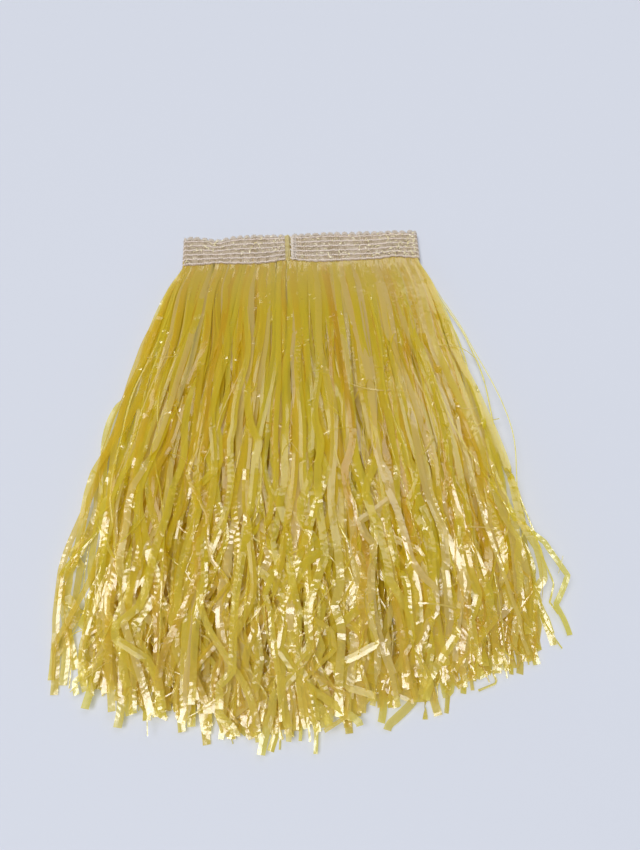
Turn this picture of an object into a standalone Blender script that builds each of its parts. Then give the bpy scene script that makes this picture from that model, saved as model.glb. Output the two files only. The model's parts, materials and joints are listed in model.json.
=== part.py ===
"""Child's hula skirt: a fringe of plastic film ribbon on a knitted elastic waistband, lying flat.

X runs along the waist, +Y from the hem to the waistband and +Z up, in metres. The origin is at the
middle of the skirt's underside. The front layer lies on the back layer, and the waist opening and
the room inside the skirt are the gap between them.
"""

import math

import bmesh
import bpy

# Driving dimensions
SKIRT_LENGTH = 0.400  # top of the picot edge to the longest ribbon's end
WAIST_WIDTH = 0.205  # the relaxed waistband, folded flat
BAND_HEIGHT = 0.031  # with its picot edge
WAIST_GAP = 0.005  # the waist opening, between the two halves of the band
LAID_HEIGHT = 0.030  # the whole skirt, lying down
FLARE = 0.058  # how far the fringe spreads past the waistband on each side
FLARE_END = 0.280  # how far down the fringe it has spread fully
FLARE_POWER = 1.05
HEM_RISE = 0.048  # how much higher the hem is at the sides than in the middle
LOCKS = 8  # locks of ribbon in each layer

# The knitted band
FIT = 0.0003  # gap between pieces that touch
WEB_THICKNESS = 0.0012
PICOT_HEIGHT = 0.0035
PICOT_PITCH = 0.0064
PICOT_STEPS = 8
ELASTIC_ROWS = 6
ELASTIC_WIDTH = 0.0024
ELASTIC_THICKNESS = 0.0009
ELASTIC_BEVEL = 0.00025
ELASTIC_PITCH = 0.00445
ELASTIC_MARGIN = 0.0014  # first row to the band's lower edge
FOLD_STEPS = 10
SEAM_X = -0.009  # where the two ends of the band are sewn together
SEAM_GAP = 0.0050  # elastic missing at the seam
STITCH_COUNT = 9
STITCH_WIDTH = 0.0009
STITCH_SWING = 0.0008

# The fringe
HINGE_DROP = 0.0015  # the ribbons bend this far below the band
LOCK_GAP = 0.0005
ROOT_START = 0.0003  # first section below the hinge line
ROOT_HALF_WIDTH = 0.004
ROOT_SPREAD = 1.5  # growth of the root's half width for each metre down
ROOT_INSET = 0.0015  # extra room at each side of a lock's root, so that the locks can fan out
ROOT_INSET_END = 0.030
BACK_FULL = 0.0100  # height of the back layer
INNER_ROOM = 0.0070  # clear height between the two layers below the ramp
RAMP_START = 0.004
RAMP_END = 0.120  # the layers reach their full height here
HEM_THINNING = 0.35  # part of the front layer's height lost at the hem
THINNING_LENGTH = 0.070
SIDE_THINNING = 0.45  # part of the front layer's height lost at its side edges
EDGE_ROUND = 0.0030
STATIONS = (0.0, 0.006, 0.018, 0.045, 0.085, 0.14, 0.21, 0.3, 0.42, 0.56, 0.72, 0.87, 1.0)

# Heights and places that follow from them
BAND_TOP_Y = SKIRT_LENGTH / 2
BAND_LOW_Y = BAND_TOP_Y - BAND_HEIGHT
WEB_TOP_Y = BAND_TOP_Y - PICOT_HEIGHT
HINGE_Y = BAND_LOW_Y - HINGE_DROP
BACK_WEB_Z = ELASTIC_THICKNESS + FIT
FRONT_WEB_Z = BACK_WEB_Z + WEB_THICKNESS + WAIST_GAP
FRONT_ELASTIC_Z = FRONT_WEB_Z + WEB_THICKNESS + FIT
FRONT_HINGE_Z = FRONT_WEB_Z + WEB_THICKNESS / 2
FOLD_RADIUS = (FRONT_WEB_Z + WEB_THICKNESS - BACK_WEB_Z) / 2
FOLD_X = WAIST_WIDTH / 2 - FOLD_RADIUS
FRINGE_LENGTH = HINGE_Y + SKIRT_LENGTH / 2


def remove_everything():
    for thing in list(bpy.data.objects):
        bpy.data.objects.remove(thing, do_unlink=True)


def plain_material(name, colour, roughness):
    made = bpy.data.materials.new(name)
    made.use_nodes = True
    shader = made.node_tree.nodes["Principled BSDF"]
    shader.inputs["Base Color"].default_value = (*colour, 1.0)
    shader.inputs["Roughness"].default_value = roughness
    shader.inputs["Metallic"].default_value = 0.0
    return made


def add_object(name, bm, material, location=(0.0, 0.0, 0.0), smooth=False):
    bmesh.ops.recalc_face_normals(bm, faces=bm.faces)
    mesh = bpy.data.meshes.new(name)
    bm.to_mesh(mesh)
    bm.free()
    mesh.materials.append(material)
    if smooth:
        mesh.shade_smooth()
        mesh.set_sharp_from_angle(angle=math.radians(40))
    made = bpy.data.objects.new(name, mesh)
    made.location = location
    bpy.context.collection.objects.link(made)
    return made


def lofted(rings):
    """A closed body through rings of points that all hold the same number of points."""
    bm = bmesh.new()
    loops = [[bm.verts.new(point) for point in ring] for ring in rings]
    count = len(loops[0])
    for low, high in zip(loops, loops[1:]):
        for i in range(count):
            j = (i + 1) % count
            bm.faces.new((low[i], low[j], high[j], high[i]))
    bm.faces.new(loops[0])
    bm.faces.new(loops[-1])
    return bm


def upright(outline, z_low, z_high):
    """An outline in X and Y, extruded from one height to another."""
    return lofted([[(x, y, z) for x, y in outline] for z in (z_low, z_high)])


def bar(name, x_range, y_range, z_low, thickness, material, bevel):
    outline = [
        (x_range[0], y_range[0]),
        (x_range[1], y_range[0]),
        (x_range[1], y_range[1]),
        (x_range[0], y_range[1]),
    ]
    made = add_object(name, upright(outline, z_low, z_low + thickness), material)
    rounding = made.modifiers.new("edges", "BEVEL")
    rounding.width = bevel
    rounding.segments = 1
    return made


def picot_edge(name, x_from, x_to, z_low, material):
    """The row of film loops above the top elastic, as one scalloped strip."""
    count = round((x_to - x_from) / PICOT_PITCH)
    pitch = (x_to - x_from) / count
    root = WEB_TOP_Y + FIT
    valley = root + PICOT_HEIGHT * 0.3
    outline = [(x_from, root), (x_to, root)]
    for loop in range(count):
        for step in range(PICOT_STEPS):
            along = (loop + (step + 0.5) / PICOT_STEPS) * pitch
            swell = math.sin(math.pi * (step + 0.5) / PICOT_STEPS) ** 0.6
            outline.append((x_to - along, valley + (BAND_TOP_Y - valley) * swell))
    add_object(name, upright(outline, z_low, z_low + WEB_THICKNESS), material)


def band_fold(name, side, material):
    """The turn of the band at one side, which joins its back half to its front half."""
    middle = BACK_WEB_Z + FOLD_RADIUS
    ring = []
    for radius, way in ((FOLD_RADIUS, 1), (FOLD_RADIUS - WEB_THICKNESS, -1)):
        for step in range(FOLD_STEPS + 1):
            turn = way * math.pi * (step / FOLD_STEPS - 0.5)
            x = side * (FOLD_X + radius * math.cos(turn))
            ring.append((x, middle + radius * math.sin(turn)))
    rings = [[(x, y, z) for x, z in ring] for y in (BAND_LOW_Y, WEB_TOP_Y)]
    add_object(name, lofted(rings), material, smooth=True)


def end_seam(name, material):
    """The zigzag thread that joins the two ends of the band, lying in the gap of the elastic."""
    bottom = BAND_LOW_Y + ELASTIC_MARGIN
    step = (WEB_TOP_Y - FIT - bottom) / STITCH_COUNT
    left = []
    right = []
    for i in range(STITCH_COUNT + 1):
        swing = STITCH_SWING * (1 if i % 2 else -1) / 2
        left.append((SEAM_X + swing - STITCH_WIDTH / 2, bottom + i * step))
        right.append((SEAM_X + swing + STITCH_WIDTH / 2, bottom + i * step))
    outline = right + left[::-1]
    top = FRONT_ELASTIC_Z + ELASTIC_THICKNESS
    add_object(name, upright(outline, FRONT_ELASTIC_Z, top), material)


def elastic_rows(prefix, x_from, x_to, z_low, material):
    for row in range(ELASTIC_ROWS):
        low = BAND_LOW_Y + ELASTIC_MARGIN + row * ELASTIC_PITCH
        y_range = (low, low + ELASTIC_WIDTH)
        name = f"{prefix}_{row + 1}"
        bar(name, (x_from, x_to), y_range, z_low, ELASTIC_THICKNESS, material, ELASTIC_BEVEL)


def half_width(r):
    """Half the fringe's width at r below the hinge line."""
    turn = math.pi / 2 * min(r / FLARE_END, 1.0)
    return WAIST_WIDTH / 2 + FLARE * math.sin(turn) ** FLARE_POWER


def ramp(r):
    return min(max((r - RAMP_START) / (RAMP_END - RAMP_START), 0.0), 1.0)


def smooth(t):
    t = min(max(t, 0.0), 1.0)
    return t * t * (3 - 2 * t)


def back_heights(r, u):
    """Underside and top of the back layer at r below the hinge line."""
    low = BACK_WEB_Z + WEB_THICKNESS
    return 0.0, low + (BACK_FULL - low) * ramp(r)


def front_heights(r, u):
    """Underside and top of the front layer at r below the hinge line and u across it, -1 to 1."""
    full = BACK_FULL + INNER_ROOM
    under = FRONT_WEB_Z + (full - FRONT_WEB_Z) * ramp(r)
    root = WEB_THICKNESS + ELASTIC_THICKNESS / 2
    grown = (LAID_HEIGHT - full - root) * smooth(r / (1.4 * RAMP_END))
    hem = 1 - HEM_THINNING * smooth((r - FRINGE_LENGTH + THINNING_LENGTH) / THINNING_LENGTH)
    side = 1 - SIDE_THINNING * abs(u) ** 4
    return under, under + root + grown * hem * side


def lock_section(part, left, right, middle_x, heights):
    """One section of a lock, as eight corners. left and right are the layer's u on its sides."""
    corners = []
    for u, inward in ((left, 1), (right, -1)):
        length = FRINGE_LENGTH - HEM_RISE * u * u
        r = ROOT_START + part * (length - ROOT_START)
        reach = ROOT_HALF_WIDTH + ROOT_SPREAD * (r - ROOT_START)
        inset = LOCK_GAP / 2 + ROOT_INSET * max(1 - r / ROOT_INSET_END, 0.0)
        side = u * half_width(r) + inward * inset
        x = max(side - middle_x, -reach) if inward == 1 else min(side - middle_x, reach)
        low, high = heights(r, u)
        corners.append((x, -r, low, high))
    (x0, y0, low0, high0), (x1, y1, low1, high1) = corners
    cut0 = min(EDGE_ROUND, (high0 - low0) * 0.3)
    cut1 = min(EDGE_ROUND, (high1 - low1) * 0.3)
    return [
        (x0 + cut0, y0, low0),
        (x1 - cut1, y1, low1),
        (x1, y1, low1 + cut1),
        (x1, y1, high1 - cut1),
        (x1 - cut1, y1, high1),
        (x0 + cut0, y0, high0),
        (x0, y0, high0 - cut0),
        (x0, y0, low0 + cut0),
    ]


def fringe(layer, heights, hinge_z, material):
    """One layer's locks of ribbon. Each has its origin on its own hinge."""
    for i in range(LOCKS):
        left = -1 + 2 * i / LOCKS
        right = -1 + 2 * (i + 1) / LOCKS
        middle_x = (left + right) / 2 * WAIST_WIDTH / 2
        rings = []
        for part in STATIONS:
            ring = lock_section(part, left, right, middle_x, heights)
            rings.append([(x, y, z - hinge_z) for x, y, z in ring])
        name = f"fringe_{layer}_{i + 1}"
        add_object(name, lofted(rings), material, (middle_x, HINGE_Y, hinge_z), smooth=True)


def waistband(film, elastic, thread):
    end = FOLD_X - FIT
    y_range = (BAND_LOW_Y, WEB_TOP_Y)
    bevel = WEB_THICKNESS / 5
    bar("waistband_back", (-end, end), y_range, BACK_WEB_Z, WEB_THICKNESS, film, bevel)
    elastic_rows("elastic_back", -end, end, 0.0, elastic)
    picot_edge("picot_edge_back", -end, end, BACK_WEB_Z, film)
    halves = (("left", -end, SEAM_X - FIT / 2, 0), ("right", SEAM_X + FIT / 2, end, 1))
    for side, x_from, x_to, after in halves:
        name = f"waistband_front_{side}"
        bar(name, (x_from, x_to), y_range, FRONT_WEB_Z, WEB_THICKNESS, film, bevel)
        picot_edge(f"picot_edge_front_{side}", x_from, x_to, FRONT_WEB_Z, film)
        row_from = x_from + SEAM_GAP / 2 * after
        row_to = x_to - SEAM_GAP / 2 * (1 - after)
        elastic_rows(f"elastic_front_{side}", row_from, row_to, FRONT_ELASTIC_Z, elastic)
    band_fold("waistband_fold_left", -1, film)
    band_fold("waistband_fold_right", 1, film)
    end_seam("end_seam", thread)


def main():
    remove_everything()
    film = plain_material("yellow_film", (0.76, 0.52, 0.06), 0.25)
    web = plain_material("knitted_band", (0.66, 0.58, 0.34), 0.5)
    elastic = plain_material("cream_elastic", (0.82, 0.74, 0.62), 0.7)
    thread = plain_material("seam_thread", (0.70, 0.62, 0.36), 0.6)
    waistband(web, elastic, thread)
    fringe("back", back_heights, BACK_WEB_Z + WEB_THICKNESS / 2, film)
    fringe("front", front_heights, FRONT_HINGE_Z, film)


main()
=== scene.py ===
"""The looks of a child's hula skirt of yellow film ribbon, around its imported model.

Every length is in metres, in the frame of the CAD model: X along the waist, +Y towards the waistband,
+Z up. Places come from the CAD nodes' boxes and from the joints.
"""

import json
import math

import bpy
import numpy as np
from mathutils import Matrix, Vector


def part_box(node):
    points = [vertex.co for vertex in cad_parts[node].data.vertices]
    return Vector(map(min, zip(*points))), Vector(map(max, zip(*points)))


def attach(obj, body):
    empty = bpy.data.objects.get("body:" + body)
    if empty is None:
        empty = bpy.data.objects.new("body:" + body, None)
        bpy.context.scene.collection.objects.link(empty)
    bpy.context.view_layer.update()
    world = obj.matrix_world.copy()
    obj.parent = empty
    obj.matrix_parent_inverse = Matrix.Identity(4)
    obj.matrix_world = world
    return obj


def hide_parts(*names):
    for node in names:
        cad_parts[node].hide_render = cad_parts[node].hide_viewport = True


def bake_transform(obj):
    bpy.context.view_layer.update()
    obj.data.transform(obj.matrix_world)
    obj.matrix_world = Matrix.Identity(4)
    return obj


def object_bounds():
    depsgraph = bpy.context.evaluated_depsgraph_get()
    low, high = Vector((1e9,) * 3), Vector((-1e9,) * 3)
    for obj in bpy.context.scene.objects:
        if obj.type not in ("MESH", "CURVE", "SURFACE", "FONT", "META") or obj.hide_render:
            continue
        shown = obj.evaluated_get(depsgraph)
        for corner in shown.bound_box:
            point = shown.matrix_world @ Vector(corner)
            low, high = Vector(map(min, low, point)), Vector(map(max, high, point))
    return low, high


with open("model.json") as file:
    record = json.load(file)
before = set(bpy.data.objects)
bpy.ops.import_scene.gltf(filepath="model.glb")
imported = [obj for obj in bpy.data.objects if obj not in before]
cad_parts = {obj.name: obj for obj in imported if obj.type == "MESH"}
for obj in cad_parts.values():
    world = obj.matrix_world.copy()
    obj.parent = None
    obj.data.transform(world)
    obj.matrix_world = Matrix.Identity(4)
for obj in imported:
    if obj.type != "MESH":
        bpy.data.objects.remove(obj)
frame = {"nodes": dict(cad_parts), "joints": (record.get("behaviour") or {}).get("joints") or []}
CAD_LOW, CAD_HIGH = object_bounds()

# Places read from the frame
JOINTS = {joint["name"]: joint for joint in frame["joints"]}
LOCKS = sum(name.startswith("front_lift") for name in JOINTS)
HINGE_Y = JOINTS["front_lift_1"]["pos_m"][1]
BAND_LOW_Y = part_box("waistband_back")[0].y
WEB_TOP_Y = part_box("waistband_back")[1].y
WAIST_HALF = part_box("waistband_fold_right")[1].x
FOLD_INNER_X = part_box("waistband_fold_right")[0].x
SEAM_X = (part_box("end_seam")[0].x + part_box("end_seam")[1].x) / 2
BACK_WEB_Z = sum(corner.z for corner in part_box("waistband_back")) / 2
FRONT_WEB_Z = sum(corner.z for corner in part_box("waistband_front_left")) / 2
ROWS = sum(node.startswith("elastic_back") for node in frame["nodes"])
FRINGE_LENGTH = HINGE_Y - CAD_LOW.y

# The fringe's outline, the same as the CAD model's
FLARE = CAD_HIGH.x - WAIST_HALF
FLARE_END = 0.280
FLARE_POWER = 1.05
BACK_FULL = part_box("fringe_back_4")[1].z
FRONT_UNDER = BACK_FULL + 0.003
FRONT_FULL = CAD_HIGH.z - 0.003
RAMP_END = 0.120

# The hem, cut by hand: it rises to both sides, hangs lowest left of the middle and is shorter right of it
HEM_MARGIN = 0.0145
HEM_RISE = 0.029
HEM_DROP = 0.003
HEM_STEP = 0.012
HEM_JITTER = 0.008
CUT_SHORT = 0.030  # the most that the scissors' jitter takes off a ribbon
CUT_LONG = 0.012
LONG_SHARE = 0.08  # of the ribbons, which hang clear of the rest
LONG_END = 0.011
TORN_SHARE = 0.08  # of the ribbons, which have lost up to TORN_END
TORN_END = 0.10
RIGHT_SLACK = 0.035  # how much narrower the right side hangs half-way down

# Ribbons
RIBBON_WIDTH = 0.0054
WIDTH_SHARES = (1.0, 0.88, 0.7, 0.5)  # of that width, which ribbons have
WIDTH_CHANCES = (0.5, 0.3, 0.14, 0.06)
SLIVER_WIDTH = 0.0006
SLIVER_EXTRA = 0.0010  # how much wider the widest is
STATIONS = 190
GOLDEN = 0.618034  # this step spreads the ribbons' places evenly
FRONT_RIBBONS = 42
BACK_RIBBONS = 26
SLIVERS = 14  # narrow torn ribbons in each lock
WISPS = 30  # short torn pieces on each lock
STRAYS = 7  # ribbons that bow out at each side of the skirt
STRAY_REACH = 0.012  # how far past the CAD model's sides they may go
TANGLED = 0.42  # the share of the ribbons that cross the others
TANGLE = 2.9  # how much more those wander
WANDER = 0.0046
BEND = 0.0060
BEND_LIMIT = 1.4  # in multiples of BEND
MASS = 0.895  # the share of the outline's width that the bulk of the ribbons fills
FLAT_SHARE = 0.20  # of the ribbons end as flat strips
FLAT_START = 0.21
FLAT_TURN = -0.16  # how they lean in the middle of the skirt, in radians
FLAT_SPREAD = 1.1  # and how much more for each metre to the right
TUCK = 0.005  # how far the ribbons run up behind the band
LYING = 0.0012  # height of a ribbon that lies on the floor
LOWEST_LINE = 0.0010  # least height of a ribbon's middle line
LOWEST_POINT = 0.0004
HALF_TURN_CHANCE = 0.28
LADDER = 0.00010  # height of the fine folds across a crumpled ribbon
ROUGH = 0.00001
ROUGH_BELOW = 0.000045  # how much rougher the crumpled part is

# The band
ROW_SHARE = 0.88  # of the web's height, between the lowest and the highest row
PLEAT_PITCH = 0.0020
PLEAT_DEPTH = 0.00046
PUFF = 0.0006  # how far the web swells between its rows
STRAND_RADIUS = 0.00040
STRAND_SWING = 0.00042
STRAND_PITCH = 0.0026
CHAIN_OFFSET = 0.0006
PICOT_PITCH = 0.0063
PICOT_WIDTH = 0.0062
PICOT_HEIGHT = 0.0040
TUFTS = 260  # bits of film that stand out of the knitting
SEAM_FILM = 0.0046  # width of the plain film beside the seam, where the elastic has stopped
# Where the knitting is pulled: place along the band, rise of the lower edge, rise of the top edge, reach
PULLS = (
    (-0.072, 0.0014, -0.0036, 0.0085),
    (-0.040, -0.0006, 0.0004, 0.012),
    (-0.012, 0.0026, 0.0002, 0.012),
    (0.022, -0.0006, 0.0010, 0.015),
    (0.080, 0.0022, 0.0006, 0.011),
)


def smooth(t):
    """An even step from 0 to 1 as t goes from 0 to 1."""
    t = np.clip(t, 0.0, 1.0)
    return t * t * (3 - 2 * t)


def unit(v):
    return v / np.maximum(np.linalg.norm(v, axis=-1, keepdims=True), 1e-12)


def half_width(r):
    """Half the fringe's width at r below the hinge line."""
    turn = math.pi / 2 * np.clip(r / FLARE_END, 0.0, 1.0)
    return WAIST_HALF + FLARE * np.sin(turn) ** FLARE_POWER


def hem_length(p):
    """A ribbon's length, from the hinge line down, at its place p from -1 to 1 across the skirt."""
    drop = HEM_DROP * np.exp(-(((p + 0.3) / 0.2) ** 2))
    return FRINGE_LENGTH - HEM_MARGIN - HEM_RISE * p**2 + drop - HEM_STEP * smooth((p + 0.10) / 0.25)


def waves(rng, count, s, cycles, terms=3):
    """Smooth random curves over s, one row each, about 1 high, with up to so many cycles."""
    total = np.zeros((count, s.size))
    for term in range(terms):
        rate = cycles * (0.45 + 0.55 * rng.random((count, 1))) * (term + 1) / terms
        phase = rng.random((count, 1)) * 2 * math.pi
        total += rng.normal(0, 1, (count, 1)) * np.sin(2 * math.pi * rate * s[None, :] + phase)
    return total / math.sqrt(terms)


def kinks(rng, count, s, each, reach, first):
    """Sharp peaks along each ribbon after first, as curves over s."""
    total = np.zeros((count, s.size))
    for _ in range(each):
        centre = first + (1 - first) * rng.random((count, 1))
        size = rng.normal(0, 1, (count, 1))
        width = reach * (0.5 + rng.random((count, 1)))
        total += size * np.clip(1 - np.abs(s[None, :] - centre) / width, 0, None)
    return total


def half_turns(rng, count, s, chance):
    """Half turns of a ribbon about its own line, as an angle over s."""
    total = np.zeros((count, s.size))
    for _ in range(3):
        on = (rng.random((count, 1)) < chance) * rng.choice([-1.0, 1.0], (count, 1))
        centre = 0.15 + 0.8 * rng.random((count, 1))
        length = 0.03 + 0.06 * rng.random((count, 1))
        total += on * math.pi * smooth((s[None, :] - centre) / length)
    return total


def clumps(rng, u, r):
    """Sideways shift that gathers neighbouring ribbons into clumps."""
    total = 0.0
    for rate, size in ((4.0, 0.013), (7.5, 0.009), (12.0, 0.006)):
        phase, drift = rng.random() * 2 * math.pi, rng.normal(0, 4)
        total = total + size * np.sin(2 * math.pi * rate * u + phase + drift * r)
    return total


def add_mesh(name, points, material, wrap=False, is_smooth=True):
    """One object from points in rows and columns, with any leading axes for separate sheets.
    is_smooth is one value, or one for each face."""
    index = np.arange(points.size // 3).reshape(points.shape[:-1])
    if wrap:
        index = np.concatenate([index, index[..., :1]], axis=-1)
    corners = [index[..., :-1, :-1], index[..., :-1, 1:], index[..., 1:, 1:], index[..., 1:, :-1]]
    faces = np.stack(corners, axis=-1)
    mesh = bpy.data.meshes.new(name)
    mesh.from_pydata(points.reshape(-1, 3).tolist(), [], faces.reshape(-1, 4).tolist())
    mesh.polygons.foreach_set("use_smooth", np.broadcast_to(is_smooth, faces.shape[:-1]).ravel())
    mesh.materials.append(material)
    mesh.update()
    made = bpy.data.objects.new(name, mesh)
    bpy.context.scene.collection.objects.link(made)
    return made


# Fringe


def ribbon_surface(path, half, turn, curl, crinkle):
    """Points of ribbons: ribbon, station, column from the left edge to the right, XYZ."""
    tangent = unit(np.gradient(path, axis=1))
    across = unit(np.cross(tangent, [0.0, 0.0, 1.0]))
    outward = np.cross(across, tangent)
    side = np.cos(turn)[..., None] * across + np.sin(turn)[..., None] * outward
    normal = -np.sin(turn)[..., None] * across + np.cos(turn)[..., None] * outward
    flat = (half * np.cos(curl))[..., None] * side
    raised = (half * np.sin(curl))[..., None] * normal
    points = np.stack([path - flat + raised, path, path + flat + raised], axis=2)
    return points + crinkle[..., None] * normal[:, :, None, :]


def lock_points(layer, lock):
    """Points of one lock's ribbons, the painted shade of each point (darker the deeper its ribbon lies in
    the heap), the ribbons' widths, and where along it each starts to crumple. s runs from 0 to 1 down a
    ribbon, and r is the distance below the hinge line."""
    front = layer == "front"
    rng = np.random.default_rng(1000 * (1 if front else 2) + lock)
    shared = np.random.default_rng(7 if front else 8)

    # Place, depth in the heap, length and width of each ribbon
    full = FRONT_RIBBONS if front else BACK_RIBBONS
    count = full + SLIVERS
    s = np.linspace(0.0, 1.0, STATIONS)
    root = HINGE_Y - BAND_LOW_Y - TUCK
    place = (np.arange(count) * GOLDEN + rng.random(count) * 0.3) % 1.0
    p = -1 + 2 * (lock + place) / LOCKS
    depth = rng.permutation(count) / (count - 1.0)
    torn = (rng.random(count) < TORN_SHARE) * rng.random(count) * TORN_END
    jitter = np.clip(rng.normal(0, HEM_JITTER, count), -CUT_SHORT, CUT_LONG)
    jitter = jitter + (rng.random(count) < LONG_SHARE) * LONG_END
    length = hem_length(p) + jitter - torn
    r = root + s[None, :] * (length[:, None] - root)
    loose = smooth((r - 0.012) / 0.13)
    wild = smooth((r - 0.12) / 0.22)

    width = RIBBON_WIDTH * rng.choice(WIDTH_SHARES, count, p=WIDTH_CHANCES)
    width[full:] = SLIVER_WIDTH + SLIVER_EXTRA * rng.random(SLIVERS)
    lively = np.where(np.arange(count) < full, 1.0, 2.2)[:, None]
    tangle = np.where(rng.random(count) < TANGLED, TANGLE, 1.0)[:, None]
    settled = np.where(rng.random(count) < 0.5, 0.75, 0.35)[:, None]

    # Across the skirt: u is -1 and 1 at the outline
    u = p[:, None] * (1 - (1 - MASS) * smooth(r / 0.10))
    u = u + smooth(r / 0.06) * clumps(shared, p[:, None], r)
    u = u + 0.028 * lively * loose * waves(rng, count, s, 1.6)
    u = u + 0.016 * smooth((r - root) / 0.03) * waves(rng, count, s, 3.5)
    if lock in (0, LOCKS - 1):
        outermost = np.argsort(-np.abs(p))[:STRAYS]
        settled[outermost] = 0.9
        bow = np.zeros((count, 1))
        bow[outermost, 0] = np.linspace(0.11, 0.02, STRAYS) + 0.02 * rng.normal(0, 1, STRAYS)
        sway = smooth(r / 0.08) + (0.45 if lock == 0 else -0.30) * smooth((r - 0.19) / 0.08)
        sway = sway + 0.16 * loose * waves(rng, count, s, 2.0)
        u = u + np.sign(p[:, None]) * bow * sway
    slack = RIGHT_SLACK * np.clip(u, 0, 1) * np.sin(math.pi * np.clip(r / 0.30, 0, 1))
    x = u * (half_width(r) * (1 - slack) - 0.0025 * (1 - smooth(r / 0.030)))
    x = x + 0.0008 * loose * waves(rng, count, s, 5.0)
    x = x + WANDER * tangle * wild * waves(rng, count, s, 3.2)
    bends = np.clip(kinks(rng, count, s, 4, 0.06, 0.30), -BEND_LIMIT, BEND_LIMIT)
    x = x + BEND * tangle * wild * bends
    x = np.clip(x, CAD_LOW.x - STRAY_REACH, CAD_HIGH.x + STRAY_REACH)

    # Height: the layer swells below the band, and thins to its sides and to the hem
    ramp = smooth(r / (RAMP_END * (0.75 + 0.5 * rng.random((count, 1)))))
    edge = 1 - 0.65 * np.abs(np.clip(u, -1, 1)) ** 5
    hem = 1 - 0.6 * smooth((r - hem_length(p)[:, None] + 0.07) / 0.08)
    if front:
        base = FRONT_WEB_Z - 0.0002
        low = base + (FRONT_UNDER * edge * hem - base) * ramp
        high = base + (FRONT_FULL - base) * smooth(r / (1.6 * RAMP_END)) * hem * edge
    else:
        low = BACK_WEB_Z - (BACK_WEB_Z - LYING) * ramp
        high = BACK_WEB_Z + (BACK_FULL * hem - BACK_WEB_Z) * ramp
    level = depth[:, None] + 0.08 * loose * waves(rng, count, s, 2.0)
    z = low + (high - low) * np.clip(level, 0, 1.1)
    z = z + (depth[:, None] - 0.5) * (0.0008 + 0.0022 * smooth(r / 0.03))
    z = z + 0.0008 * loose * waves(rng, count, s, 4.0)
    z = z + 0.0030 * wild * np.abs(kinks(rng, count, s, 4, 0.03, 0.35))
    z = LYING + (z - LYING) * (1 - settled * smooth((s[None, :] - 0.84) / 0.16))
    path = np.stack([x, HINGE_Y - r, np.maximum(z, LOWEST_LINE)], axis=-1)

    # Twist, curl and crumple
    gathered = 1 - smooth((r - root) / 0.040)
    turn = 0.22 * loose * waves(rng, count, s, 2.5) + 0.38 * wild * waves(rng, count, s, 3.0)
    turn = turn + 0.13 * gathered * waves(rng, count, s, 26.0)
    turn = turn + 0.34 * kinks(rng, count, s, 4, 0.008, 0.02)
    turn = turn + half_turns(rng, count, s, HALF_TURN_CHANCE) * smooth((r - 0.05) / 0.10)
    is_flat = rng.random((count, 1)) < FLAT_SHARE
    flat = is_flat * smooth((r - FLAT_START - 0.10 * rng.random((count, 1))) / 0.05)
    lean = FLAT_TURN - FLAT_SPREAD * x + 0.04 * waves(rng, count, s, 6.0)
    turn = turn + (lean - turn) * flat
    curl = 0.14 * loose * waves(rng, count, s, 2.0) + 0.12 * wild * waves(rng, count, s, 5.0)
    burst = np.clip(waves(rng, count, s, 7.0) - 0.35, 0, 1.2) * (0.35 + 0.65 * wild)
    ladder = np.where(np.arange(STATIONS) % 2, 1.0, -1.0)[None, :] * burst * LADDER
    rough = ROUGH + ROUGH_BELOW * wild
    crinkle = ladder[..., None] + rough[..., None] * rng.normal(0, 1, (count, STATIONS, 3))
    points = ribbon_surface(path, width[:, None] / 2 * (1 - 0.4 * gathered), turn, curl, crinkle)
    crumpled = 0.03 + 0.25 * rng.random(count)
    # Painted shade: the deeper a ribbon lies in the heap, the more its colour is darkened towards amber,
    # from about 3 cm below the hinge line down
    painted_shade = (1 - smooth(depth / 0.7))[:, None] * smooth((r - 0.03) / 0.15)

    if front:
        wisps, wisp_width = wisp_points(rng, path[:full])
        points = np.concatenate([points, wisps])
        width = np.concatenate([width, wisp_width])
        painted_shade = np.concatenate([painted_shade, np.zeros((WISPS, STATIONS))])
        crumpled = np.concatenate([crumpled, np.ones(WISPS)])
    points[..., 2] = np.clip(points[..., 2], LOWEST_POINT, CAD_HIGH.z)
    return points, painted_shade, width, crumpled


def wisp_points(rng, path):
    """Torn slivers that cross the ribbons of a lock at all angles."""
    carrier = rng.integers(0, len(path), WISPS)
    station = rng.integers(int(0.25 * STATIONS), int(0.97 * STATIONS), WISPS)
    middle = path[carrier, station] + [0.0, 0.0, 0.0015]
    along = np.linspace(-0.5, 0.5, STATIONS)[None, :] * (0.010 + 0.042 * rng.random((WISPS, 1)))
    heading = rng.normal(0, 0.9, (WISPS, 1)) + 12 * rng.normal(0, 1, (WISPS, 1)) * along
    wisps = np.stack([along * np.sin(heading), -along * np.cos(heading), -18 * along**2], axis=-1)
    width = 0.0004 + 0.0009 * rng.random(WISPS)
    flat = np.zeros((WISPS, STATIONS))
    turn = 0.5 * rng.normal(0, 1, (WISPS, 1)) + flat
    wisps = wisps + middle[:, None, :]
    return ribbon_surface(wisps, width[:, None] / 2, turn, flat, np.zeros((WISPS, STATIONS, 3))), width


def add_fringe(film):
    """One piece for each lock of ribbons, in place of the lock's CAD part."""
    stations = (np.arange(STATIONS - 1) + 0.5) / (STATIONS - 1)
    for layer in ("front", "back"):
        for lock in range(LOCKS):
            node = f"fringe_{layer}_{lock + 1}"
            points, painted_shade, width, crumpled = lock_points(layer, lock)
            is_smooth = (stations[None, :] < crumpled[:, None])[..., None]
            made = add_mesh(f"ribbons_{layer}_{lock + 1}", points, film, is_smooth=is_smooth)
            below = HINGE_Y - points[..., 1]
            # below_waist drives the paler tones near the band and at the hem; painted_shade drives the
            # painted shade of deep ribbons
            for name, values in (("below_waist", below), ("painted_shade", painted_shade[..., None] + 0 * below)):
                attribute = made.data.attributes.new(name, "FLOAT", "POINT")
                attribute.data.foreach_set("value", values.ravel())
            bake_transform(made)
            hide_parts(node)


# Band


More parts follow.
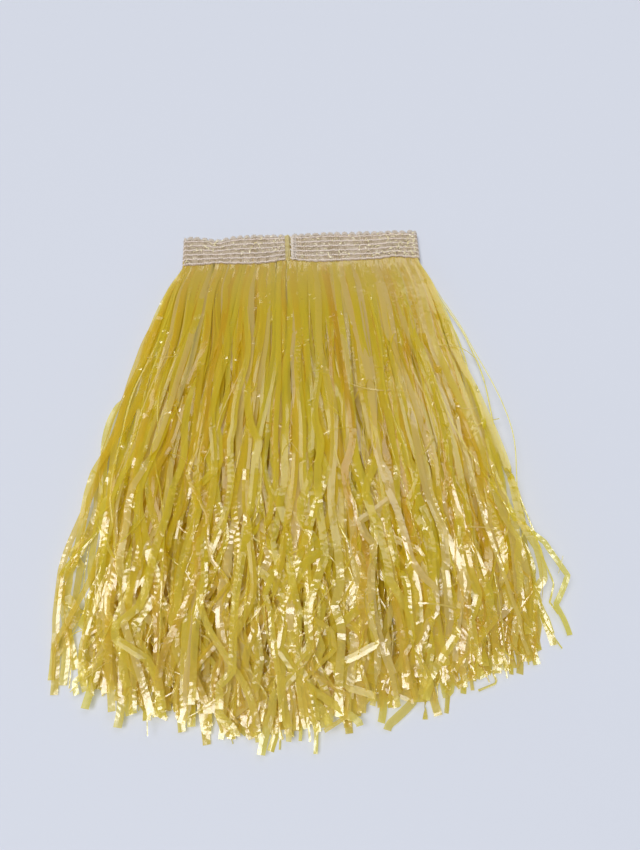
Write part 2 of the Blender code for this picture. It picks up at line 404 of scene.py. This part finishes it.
def band_y(x, v):
    """Height of a point on the band: v is 0 at the web's lower edge and 1 at its top."""
    y = BAND_LOW_Y + v * (WEB_TOP_Y - BAND_LOW_Y)
    for place, low, high, reach in PULLS:
        y = y + (low + (high - low) * v) * np.exp(-(((x - place) / reach) ** 2))
    return y + 0.00025 * np.sin(900 * x + 5 * v)


def row_v(row):
    """Where a row of elastic lies on the band, from 0 at the web's lower edge to 1 at its top."""
    return 0.5 + ROW_SHARE * (row / (ROWS - 1) - 0.5)


def straight(low_x, high_x, z, outward):
    """A stretch of the band at a steady height: its line, and the way it faces."""
    def route(t):
        x = low_x + t * (high_x - low_x)
        return np.stack([x, 0 * x, z + 0 * x], -1), np.stack([0 * x, 0 * x, outward + 0 * x], -1)
    return route


def folded(side):
    """The band's turn from the back up to the front, at one side."""
    depth = WAIST_HALF - FOLD_INNER_X - 0.0012
    rise = (FRONT_WEB_Z - BACK_WEB_Z) / 2
    middle = (FRONT_WEB_Z + BACK_WEB_Z) / 2

    def route(t):
        angle = (t - 0.5) * math.pi
        x, z = np.cos(angle), np.sin(angle)
        line = np.stack([side * (FOLD_INNER_X + depth * x), 0 * x, middle + rise * z], -1)
        return line, unit(np.stack([side * x / depth, 0 * x, z / rise], -1))
    return route


def web_points(route, length, seed):
    """The web, pleated between its rows."""
    rng = np.random.default_rng(seed)
    t = np.linspace(0, 1, max(12, int(length / 0.00034)))
    v = np.linspace(0, 1, 61)
    line, facing = route(t)
    drift = waves(rng, 1, t, 9.0)[0] * 1.4
    row_place = (v - row_v(0)) / (row_v(1) - row_v(0))
    free = np.abs(np.sin(math.pi * row_place)) ** 0.5
    zone = np.floor(row_place)
    phase = 2 * math.pi * t[:, None] * length / PLEAT_PITCH + drift[:, None] + 1.3 * zone[None, :]
    swell = 0.7 + 0.5 * waves(rng, 1, t, length / 0.006)[0]
    lift = free[None, :] * (PUFF + PLEAT_DEPTH * np.sin(phase) * swell[:, None])
    points = line[:, None, :] + lift[..., None] * facing[:, None, :]
    points[..., 1] = band_y(points[..., 0], v[None, :])
    return points


def chain_points(route, length, row, seed):
    """One row's chain of elastic: two strands wound about each other."""
    rng = np.random.default_rng(seed)
    stations = max(16, int(length / STRAND_PITCH * 8))
    t = np.linspace(0, 1, stations)
    line, facing = route(t)
    ring = np.linspace(0, 2 * math.pi, 6, endpoint=False)
    taper = np.clip(np.minimum(t, 1 - t) * length / 0.0004, 0.1, 1.0)
    strands = []
    for half in (0.0, math.pi):
        angle = 2 * math.pi * t * length / STRAND_PITCH + half + 0.5 * waves(rng, 1, t, 9.0)[0]
        centre = line + (CHAIN_OFFSET + 0.00018 * np.cos(angle))[:, None] * facing
        centre[:, 1] = band_y(centre[:, 0], row_v(row)) + STRAND_SWING * np.sin(angle)
        radius = STRAND_RADIUS * taper * (1 + 0.12 * np.sin(2 * angle))
        outward = np.cos(ring)[None, :, None] * facing[:, None, :]
        upward = np.sin(ring)[None, :, None] * np.array([0.0, 1.0, 0.0])
        strands.append(centre[:, None, :] + radius[:, None, None] * (outward + upward))
    return np.stack(strands)


def picot_points(route, length, seed):
    """Loops of film that stand along the top edge, each a small fluted shell."""
    rng = np.random.default_rng(seed)
    count = max(1, round(length / PICOT_PITCH))
    t = (np.arange(count) + 0.5) / count + rng.normal(0, 0.05, count) / count
    angle = np.linspace(-0.12, math.pi + 0.12, 25)
    share = np.sin(np.linspace(-0.5, 0.5, 11) * math.pi)
    width = PICOT_WIDTH * (0.92 + 0.16 * rng.random(count))
    height = PICOT_HEIGHT * (0.85 + 0.25 * rng.random(count))
    # Each shell is a grid round its arch and over it, from the front face to the back
    reach = np.sqrt(np.clip(1 - share**2, 0, 1))[None, None, :]
    flute = 1 + 0.07 * np.cos(9 * angle)[None, :, None] * reach
    out = reach * flute
    sideways = width[:, None, None] / 2 * np.cos(angle)[None, :, None] * out
    upward = height[:, None, None] * np.sin(angle)[None, :, None] * out
    forward = 0.0011 * share[None, None, :] * (1 + 0.15 * np.cos(9 * angle)[None, :, None])
    line, facing = route(t[:, None, None] - sideways / length)
    points = line + (forward + 0.0002)[..., None] * facing
    points[..., 1] = band_y(line[..., 0], 1.0) - 0.0004 + upward
    return points


def add_band_stretch(name, route, length, place, nodes, films, seed):
    """Web, chains and picots over one stretch of the band. place() fixes a piece to its body, or for the
    folds leaves it where it is, and hides the CAD part.
    """
    web, picot, elastic = films
    made = add_mesh(f"web_{name}", web_points(route, length, seed), web)
    place(made, "band_web", nodes["web"])
    made = add_mesh(f"picots_{name}", picot_points(route, length, seed + 1), picot)
    place(made, "picot_film", nodes["picots"])
    for row in range(ROWS):
        points = chain_points(route, length, row, seed + 2 + row)
        made = add_mesh(f"chain_{name}_{row + 1}", points, elastic, wrap=True)
        place(made, "elastic", nodes["rows"][row])


def add_band(web, picot, elastic):
    """The front's two parts, the back, and the two folds at the sides."""
    films = web, picot, elastic

    def on(body):
        def place(made, slot, node):
            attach(made, body)
            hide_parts(node)
        return place

    def across_fold(made, slot, node):
        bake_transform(made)
        if node:
            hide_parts(node)

    left_end, right_end = SEAM_X - SEAM_FILM, SEAM_X + 0.0004
    stretches = (
        ("front_left", -FOLD_INNER_X, left_end, FRONT_WEB_Z, 1.0, "waistband_front"),
        ("front_right", right_end, FOLD_INNER_X, FRONT_WEB_Z, 1.0, "waistband_front"),
        ("back", -FOLD_INNER_X, FOLD_INNER_X, BACK_WEB_Z, -1.0, "waistband_back"),
    )
    for number, (name, low, high, z, outward, body) in enumerate(stretches):
        nodes = {
            "web": f"waistband_{name}",
            "picots": f"picot_edge_{name}",
            "rows": [f"elastic_{name}_{row + 1}" for row in range(ROWS)],
        }
        route = straight(low, high, z, outward)
        add_band_stretch(name, route, high - low, on(body), nodes, films, 100 * (number + 1))
    fold_length = math.pi * (FRONT_WEB_Z - BACK_WEB_Z) / 2 + 0.0025
    for side, name in ((-1, "left"), (1, "right")):
        nodes = {"web": f"waistband_fold_{name}", "picots": None, "rows": [None] * ROWS}
        add_band_stretch(f"fold_{name}", folded(side), fold_length, across_fold, nodes, films, 500 + side)


def add_seam(film, thread):
    """The film that shows between the band's two ends, and the stitches that close it."""
    x = np.linspace(0, 1, 41)[:, None]
    v = np.linspace(-0.02, 1.08, 60)[None, :]
    low, high = SEAM_X - SEAM_FILM - 0.0003, SEAM_X + 0.0008
    across = low + x * (high - low) + 0.0004 * x * np.sin(4.5 * v + 0.5)
    folds = 0.00035 * np.sin(15 * x + 1.6 * np.sin(6 * v)) * np.sin(math.pi * x)
    z = FRONT_WEB_Z + folds + 0.0004 * np.sin(math.pi * x) - 0.0026 * smooth((x - 0.72) / 0.2)
    points = np.stack([across, band_y(across, v), z + 0 * v], axis=-1)
    flap = add_mesh("seam_flap", points, film)
    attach(flap, "waistband_front")

    turns = 14
    t = np.linspace(0, 1, turns * 14)
    rng = np.random.default_rng(31)
    angle = 2 * math.pi * turns * t
    reach = 0.0022 + 0.0011 * waves(rng, 1, t, 11.0)[0]
    centre_x = SEAM_X + 0.0026 + reach * np.cos(angle)
    centre_z = FRONT_WEB_Z + 0.0006 + 0.0011 * np.abs(np.sin(angle / 2 + 0.4))
    centre_y = band_y(centre_x, 0.02 + 0.98 * t) + 0.0009 * np.sin(angle * 2 + 1)
    centre = np.stack([centre_x, centre_y, centre_z], -1)
    tangent = unit(np.gradient(centre, axis=0))
    first = unit(np.cross(tangent, [0.0, 0.0, 1.0]))
    second = np.cross(first, tangent)
    ring = np.linspace(0, 2 * math.pi, 7, endpoint=False)[None, :, None]
    points = centre[:, None] + 0.00028 * (np.cos(ring) * first[:, None] + np.sin(ring) * second[:, None])
    stitches = add_mesh("seam_stitches", points, thread, wrap=True)
    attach(stitches, "waistband_front")
    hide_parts("end_seam")


def add_tufts(film):
    """Bits of film that stand out of the knitting, most of them at the band's right end."""
    rng = np.random.default_rng(77)
    x = rng.uniform(-FOLD_INNER_X, FOLD_INNER_X, TUFTS)
    x[: TUFTS // 4] = FOLD_INNER_X - 0.024 * rng.random(TUFTS // 4) ** 1.4
    x = x[np.abs(x - SEAM_X) > 0.006][:, None]
    count = len(x)
    along = np.linspace(-0.5, 0.5, 9)[None, :] * (0.0014 + 0.0026 * rng.random((count, 1)))
    heading = 2 * math.pi * rng.random((count, 1)) + 300 * rng.normal(0, 1, (count, 1)) * along
    centre_y = band_y(x, 0.04 + 0.98 * rng.random((count, 1)))
    z = FRONT_WEB_Z + 0.0013 + 0.0007 * rng.random((count, 1)) - 180 * along**2
    path = np.stack([x + along * np.cos(heading), centre_y + along * np.sin(heading), z], axis=-1)
    flat = np.zeros(along.shape)
    turn = 0.6 * rng.normal(0, 1, (count, 1)) + flat
    half = 0.0002 + 0.0004 * rng.random((count, 1))
    points = ribbon_surface(path, half, turn, flat, np.zeros((count, 9, 3)))
    tufts = add_mesh("tufts", points, film, is_smooth=False)
    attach(tufts, "waistband_front")


# Materials


def new_material(name):
    made = bpy.data.materials.new(name)
    made.use_nodes = True
    nodes = made.node_tree.nodes
    return made, nodes, made.node_tree.links, nodes["Principled BSDF"]


def ramp(nodes, *stops):
    """A colour ramp of (place, (red, green, blue)) stops."""
    made = nodes.new("ShaderNodeValToRGB")
    elements = made.color_ramp.elements
    while len(elements) < len(stops):
        elements.new(0.5)
    for element, (place, colour) in zip(elements, stops):
        element.position = place
        element.color = (*colour, 1)
    return made


def noise(nodes, links, vector, scale, detail=2.0):
    made = nodes.new("ShaderNodeTexNoise")
    made.inputs["Scale"].default_value = scale
    made.inputs["Detail"].default_value = detail
    links.new(vector, made.inputs["Vector"])
    return made.outputs["Fac"]


def bump(nodes, links, height, distance, strength, shaders):
    made = nodes.new("ShaderNodeBump")
    made.inputs["Strength"].default_value = strength
    made.inputs["Distance"].default_value = distance
    links.new(height, made.inputs["Height"])
    for shader in shaders:
        links.new(made.outputs["Normal"], shader.inputs["Normal"])


def translucent(nodes, links, shader, colour, share):
    """Lets a share of the light that falls on one side of the film out of the other."""
    through = nodes.new("ShaderNodeBsdfTranslucent")
    through.inputs["Color"].default_value = (*colour, 1)
    mix = nodes.new("ShaderNodeMixShader")
    mix.inputs[0].default_value = share
    links.new(shader.outputs[0], mix.inputs[1])
    links.new(through.outputs[0], mix.inputs[2])
    links.new(mix.outputs[0], nodes["Material Output"].inputs["Surface"])


def clear(nodes, links, tint, share):
    """Lets what is behind the film show through it."""
    surface = nodes["Material Output"].inputs["Surface"]
    through = nodes.new("ShaderNodeBsdfTransparent")
    through.inputs["Color"].default_value = (*tint, 1)
    mix = nodes.new("ShaderNodeMixShader")
    mix.inputs[0].default_value = share
    links.new(surface.links[0].from_socket, mix.inputs[1])
    links.new(through.outputs[0], mix.inputs[2])
    links.new(mix.outputs[0], surface)


def film_material():
    """Glossy, translucent yellow film. Every ribbon is an island with its own tone, paler near the band and
    at the hem, where the paleness is in part a painted sheen, and darkened with painted shade where it lies
    deep in the heap."""
    made, nodes, links, shader = new_material("ribbon_film")
    island = nodes.new("ShaderNodeNewGeometry")
    place = nodes.new("ShaderNodeTexCoord")
    tone = ramp(
        nodes,
        (0.00, (0.64, 0.37, 0.008)),
        (0.16, (0.80, 0.58, 0.016)),
        (0.40, (0.77, 0.71, 0.030)),
        (0.64, (0.86, 0.76, 0.050)),
        (0.80, (0.82, 0.73, 0.110)),
        (1.00, (0.88, 0.76, 0.360)),
    )
    links.new(island.outputs["Random Per Island"], tone.inputs["Fac"])
    colour = tone.outputs["Color"]
    for name, start, end, share, other in (
        ("below_waist", 0.050, 0.0, 0.56, (0.80, 0.70, 0.30)),
        # Paler towards the hem, in part a painted sheen standing in for the white flashes of the ribbon
        # ends
        ("below_waist", 0.250, 0.370, 0.34, (0.93, 0.86, 0.46)),
        # Painted shade: ribbons deep in the heap darkened towards amber
        ("painted_shade", 0.0, 1.0, 0.50, (0.44, 0.25, 0.004)),
    ):
        attribute = nodes.new("ShaderNodeAttribute")
        attribute.attribute_name = name
        amount = nodes.new("ShaderNodeMapRange")
        amount.inputs["From Min"].default_value = start
        amount.inputs["From Max"].default_value = end
        amount.inputs["To Max"].default_value = share
        links.new(attribute.outputs["Fac"], amount.inputs["Value"])
        mix = nodes.new("ShaderNodeMix")
        mix.data_type = "RGBA"
        mix.inputs["B"].default_value = (*other, 1)
        links.new(amount.outputs[0], mix.inputs["Factor"])
        links.new(colour, mix.inputs["A"])
        colour = mix.outputs["Result"]
    links.new(colour, shader.inputs["Base Color"])
    shader.inputs["Roughness"].default_value = 0.15
    shader.inputs["IOR"].default_value = 2.5
    ripple = noise(nodes, links, place.outputs["Object"], 160.0)
    bump(nodes, links, ripple, 0.0006, 0.25, [shader])
    translucent(nodes, links, shader, (0.95, 0.78, 0.05), 0.48)
    clear(nodes, links, (1.0, 0.95, 0.60), 0.38)
    return made


def web_material(name, dark, light, share):
    """The same film, gathered and matted by the knitting."""
    made, nodes, links, shader = new_material(name)
    place = nodes.new("ShaderNodeTexCoord")
    tone = ramp(nodes, (0.30, dark), (0.70, light))
    links.new(noise(nodes, links, place.outputs["Object"], 260.0, 4.0), tone.inputs["Fac"])
    links.new(tone.outputs["Color"], shader.inputs["Base Color"])
    shader.inputs["Roughness"].default_value = 0.16
    shader.inputs["IOR"].default_value = 1.7
    fine = noise(nodes, links, place.outputs["Object"], 800.0, 3.0)
    bump(nodes, links, fine, 0.0005, 0.6, [shader])
    translucent(nodes, links, shader, light, share)
    return made


def thread_material(name, dark, light):
    """Matt cream yarn, with fine filaments."""
    made, nodes, links, shader = new_material(name)
    place = nodes.new("ShaderNodeTexCoord")
    tone = ramp(nodes, (0.25, dark), (0.75, light))
    links.new(noise(nodes, links, place.outputs["Object"], 700.0, 3.0), tone.inputs["Fac"])
    links.new(tone.outputs["Color"], shader.inputs["Base Color"])
    shader.inputs["Roughness"].default_value = 0.5
    shader.inputs["Sheen Weight"].default_value = 0.4
    bump(nodes, links, noise(nodes, links, place.outputs["Object"], 2500.0, 2.0), 0.0001, 0.5, [shader])
    return made


# Stage, lights and camera


def add_stage():
    far = 40.0
    corners = np.array([[(-far, -far, 0), (far, -far, 0)], [(-far, far, 0), (far, far, 0)]])
    made, _, _, shader = new_material("floor")
    shader.inputs["Base Color"].default_value = (0.62, 0.65, 0.72, 1)
    shader.inputs["Roughness"].default_value = 0.7
    add_mesh("floor", corners, made)


def add_light(name, towards, angle, strength, colour):
    """A soft, distant light, from the direction given. angle is how wide it looks, in radians."""
    data = bpy.data.lights.new(name, "SUN")
    data.angle = angle
    data.energy = strength
    data.color = colour
    made = bpy.data.objects.new(name, data)
    made.rotation_euler = Vector(towards).to_track_quat("Z", "Y").to_euler()
    bpy.context.scene.collection.objects.link(made)


def add_world():
    """An even surround, as pale as the floor at the horizon and dimmer overhead."""
    world = bpy.data.worlds.new("studio")
    world.use_nodes = True
    nodes, links = world.node_tree.nodes, world.node_tree.links
    place = nodes.new("ShaderNodeTexCoord")
    split = nodes.new("ShaderNodeSeparateXYZ")
    links.new(place.outputs["Generated"], split.inputs[0])
    tone = ramp(
        nodes,
        (0.00, (0.72, 0.75, 0.85)),
        (0.12, (0.64, 0.67, 0.76)),
        (0.30, (0.38, 0.40, 0.46)),
        (0.45, (0.22, 0.24, 0.27)),
        (1.00, (0.13, 0.14, 0.16)),
    )
    links.new(split.outputs["Z"], tone.inputs["Fac"])
    links.new(tone.outputs["Color"], nodes["Background"].inputs["Color"])
    bpy.context.scene.world = world


def add_lights_and_camera():
    add_world()
    bpy.context.scene.view_settings.view_transform = "Standard"
    add_light("key", (-1.8, -0.2, 5.4), 0.50, 1.98, (1.0, 0.98, 0.97))
    add_light("front", (-0.6, -3.2, 5.0), 0.30, 0.36, (1.0, 1.0, 1.0))
    add_light("top", (1.4, 3.0, 5.6), 0.55, 0.55, (0.97, 0.98, 1.0))
    data = bpy.data.cameras.new("camera")
    data.sensor_width = 36.0
    data.lens = 27.1
    camera = bpy.data.objects.new("camera", data)
    camera.location = (0.001, -0.186, 0.448)
    camera.rotation_euler = (math.radians(24.6), 0, math.radians(-2.4))
    bpy.context.scene.collection.objects.link(camera)
    bpy.context.scene.camera = camera


def main():
    add_stage()
    add_lights_and_camera()
    film = film_material()
    web = web_material("band_web", (0.44, 0.345, 0.21), (0.81, 0.69, 0.53), 0.35)
    seam = web_material("seam_film", (0.66, 0.54, 0.18), (0.84, 0.73, 0.38), 0.35)
    picot = web_material("picot_film", (0.72, 0.63, 0.51), (0.86, 0.79, 0.70), 0.40)
    tuft = web_material("tuft_film", (0.84, 0.73, 0.36), (0.94, 0.88, 0.70), 0.20)
    elastic = thread_material("elastic", (0.70, 0.59, 0.50), (0.87, 0.77, 0.69))
    thread = thread_material("seam_thread", (0.76, 0.67, 0.56), (0.88, 0.81, 0.73))
    add_fringe(film)
    add_band(web, picot, elastic)
    add_seam(seam, thread)
    add_tufts(tuft)


main()
